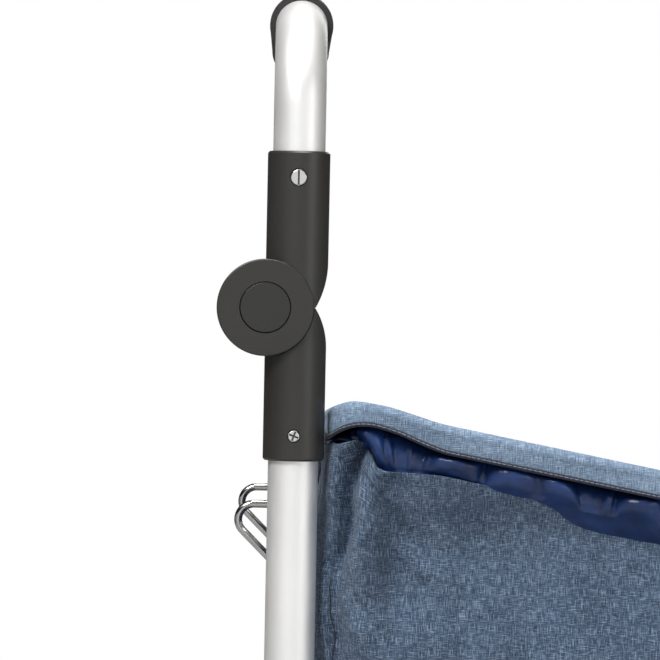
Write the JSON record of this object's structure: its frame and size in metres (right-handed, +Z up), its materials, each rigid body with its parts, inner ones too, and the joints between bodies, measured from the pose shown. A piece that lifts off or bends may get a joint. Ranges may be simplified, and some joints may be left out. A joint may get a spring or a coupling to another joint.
{
  "type": "shopping trolley",
  "caption": "Two-wheel shopping trolley with an aluminium frame, a push-button folding handle, wire cart hooks and a fabric bag under a flap.",
  "frame": {"origin": "on the ground under the middle of the bounding box", "axes": "+X from the frame towards the bag, +Y from the left side to the right side, +Z up"},
  "size_m": [0.379, 0.421, 0.9635],
  "materials": {
    "frame_aluminium": "satin anodised",
    "chrome_wire": "polished",
    "knuckle_plastic": "matt moulded",
    "fastener_steel": "plated",
    "lock_plastic": "moulded",
    "grip_rubber": "soft matt",
    "base_plastic": "matt moulded",
    "wheel_plastic": "moulded",
    "tyre_rubber": "matt",
    "bag_fabric": "heathered slub weave",
    "flap_fabric": "heathered slub weave",
    "liner_satin": "satin",
    "webbing": "woven tape"
  },
  "bodies": {
    "frame": {"frame_tube_left": "frame_aluminium", "frame_tube_right": "frame_aluminium", "cross_tube_upper": "frame_aluminium", "cross_tube_lower": "frame_aluminium", "cart_hook_left": "chrome_wire", "cart_hook_right": "chrome_wire", "lower_knuckle_left": "knuckle_plastic", "lower_knuckle_right": "knuckle_plastic", "lower_knuckle_screws": "fastener_steel", "hinge_pins": "fastener_steel", "lock_spring_left": "fastener_steel", "lock_spring_right": "fastener_steel", "axle": "fastener_steel", "axle_bracket_left": "base_plastic", "axle_bracket_right": "base_plastic", "bracket_screws": "fastener_steel", "axle_spacers": "base_plastic", "axle_caps": "base_plastic", "base_tube": "frame_aluminium", "front_leg": "frame_aluminium", "leg_feet": "grip_rubber", "bag_body": "bag_fabric", "bag_liner": "liner_satin", "bottom_board": "base_plastic", "bag_straps": "webbing", "stud_socket": "fastener_steel"},
    "handle": {"upper_knuckle_left": "knuckle_plastic", "upper_knuckle_right": "knuckle_plastic", "upper_knuckle_screws": "fastener_steel", "handle_tube": "frame_aluminium", "handle_grip": "grip_rubber"},
    "button_left": {"push_button_left": "knuckle_plastic"},
    "button_right": {"push_button_right": "knuckle_plastic"},
    "lock_left": {"lock_gear_left": "lock_plastic"},
    "lock_right": {"lock_gear_right": "lock_plastic"},
    "left_wheel": {"wheel_left": "wheel_plastic", "tyre_left": "tyre_rubber", "wheel_bushes_left": "wheel_plastic"},
    "right_wheel": {"wheel_right": "wheel_plastic", "tyre_right": "tyre_rubber", "wheel_bushes_right": "wheel_plastic"},
    "flap": {"bag_flap": "flap_fabric", "closure_tab": "webbing", "stud_cap": "fastener_steel"}
  },
  "joints": [
    {"name": "handle_fold", "type": "hinge", "parent": "frame", "child": "handle", "pos_m": [-0.09875, 0, 0.805], "axis": [0, -1, 0], "range_deg": [0, 175]},
    {"name": "button_left_press", "type": "slide", "parent": "handle", "child": "button_left", "axis": [0, 1, 0], "range_m": [0, 0.003], "stiffness_N_per_m": 900},
    {"name": "button_right_press", "type": "slide", "parent": "handle", "child": "button_right", "axis": [0, -1, 0], "range_m": [0, 0.003], "stiffness_N_per_m": 900},
    {"name": "lock_left_shift", "type": "slide", "parent": "frame", "child": "lock_left", "axis": [0, 1, 0], "range_m": [0, 0.003], "deforming": ["lock_spring_left"]},
    {"name": "lock_right_shift", "type": "slide", "parent": "frame", "child": "lock_right", "axis": [0, -1, 0], "range_m": [0, 0.003], "deforming": ["lock_spring_right"]},
    {"name": "left_wheel_spin", "type": "hinge", "parent": "frame", "child": "left_wheel", "pos_m": [-0.0995, -0.187, 0.09], "axis": [0, 1, 0], "continuous": true},
    {"name": "right_wheel_spin", "type": "hinge", "parent": "frame", "child": "right_wheel", "pos_m": [-0.0995, 0.187, 0.09], "axis": [0, 1, 0], "continuous": true},
    {"name": "flap_open", "type": "hinge", "parent": "frame", "child": "flap", "pos_m": [-0.0635, 0, 0.755], "axis": [0, -1, 0], "range_deg": [0, 85]}
  ],
  "couplings": [
    {"joint": "lock_left_shift", "follows": "button_left_press", "ratio": 1},
    {"joint": "lock_right_shift", "follows": "button_right_press", "ratio": 1}
  ]
}
